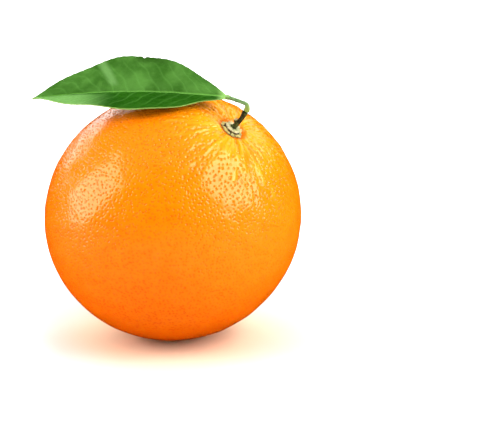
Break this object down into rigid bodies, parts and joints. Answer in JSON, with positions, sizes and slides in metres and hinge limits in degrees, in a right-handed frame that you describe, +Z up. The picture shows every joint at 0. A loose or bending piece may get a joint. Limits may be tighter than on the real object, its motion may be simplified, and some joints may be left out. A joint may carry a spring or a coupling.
{
  "type": "orange",
  "caption": "Whole sweet orange that rests on a small flat spot, with its woody calyx, a short cut twig and a leaf on its stalk.",
  "frame": {"origin": "centre of the small flat spot that the fruit rests on", "axes": "+Z up; +X from the leaf's tip towards the stem end, seen from the front; -Y towards the front, the side that the stem end leans to"},
  "size_m": [0.083, 0.0789, 0.0885],
  "materials": {
    "peel": "satin",
    "calyx_wood": "matte",
    "bark": "matte",
    "petiole_green": "satin",
    "leaf_green": "satin"
  },
  "bodies": {
    "root": {"fruit": "peel", "calyx": "calyx_wood", "twig": "bark", "petiole": "petiole_green", "leaf_blade": "leaf_green"}
  },
  "joints": []
}
